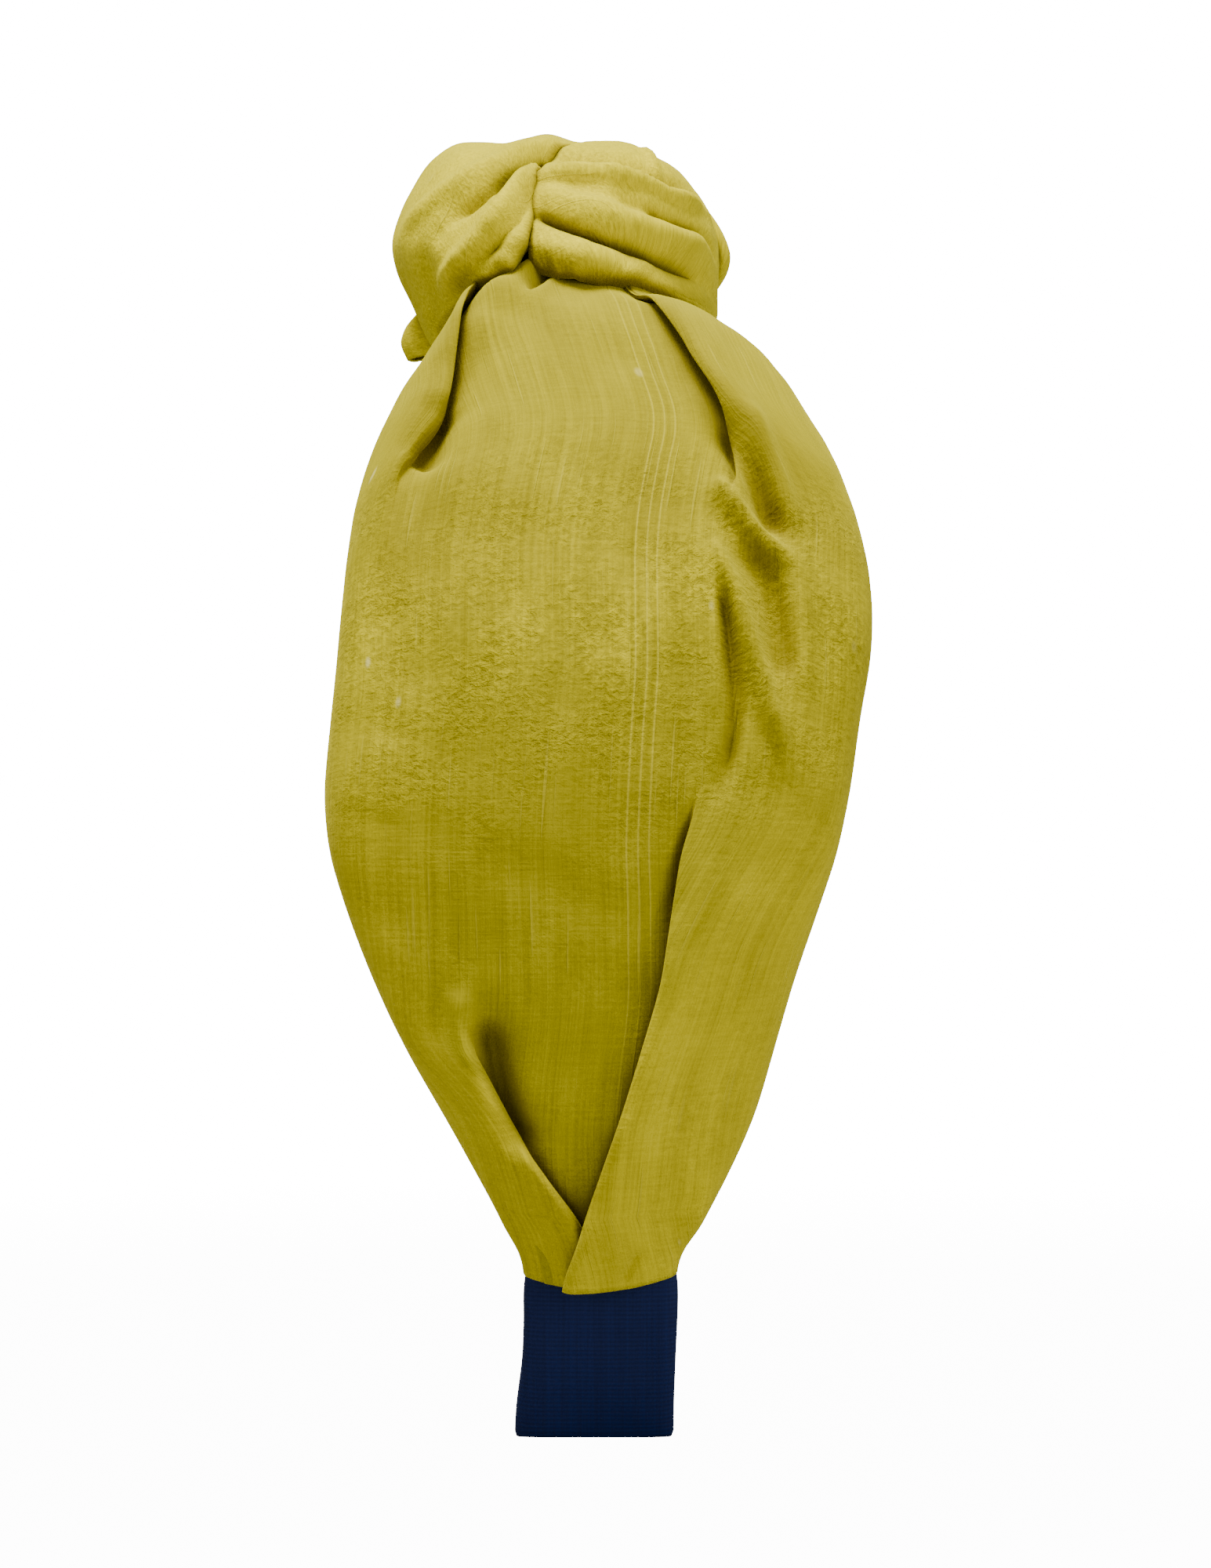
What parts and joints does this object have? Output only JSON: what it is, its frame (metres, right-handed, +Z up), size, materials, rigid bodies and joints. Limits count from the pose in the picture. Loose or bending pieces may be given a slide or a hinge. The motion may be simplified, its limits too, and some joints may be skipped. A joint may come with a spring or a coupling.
{
  "type": "knotted headband",
  "caption": "Wide velvet headband with a turban knot on the crown, puffed pleated arms and bare navy ribbon tips.",
  "frame": {"origin": "on the surface the tips stand on, midway between the two tips", "axes": "+Z up to the knot, +X towards the wearer's left arm, -Y towards the wearer's forehead"},
  "size_m": [0.1472, 0.0668, 0.166],
  "materials": {
    "velvet": "crushed pile",
    "ribbon": "fine ribbed weave",
    "core_plastic": "matt"
  },
  "bodies": {
    "root": {"core_band": "core_plastic", "lining_ribbon": "ribbon", "left_tip_wrap": "ribbon", "right_tip_wrap": "ribbon", "left_cover": "velvet", "right_cover": "velvet", "knot_over_strand": "velvet", "knot_under_strand": "velvet"}
  },
  "joints": []
}
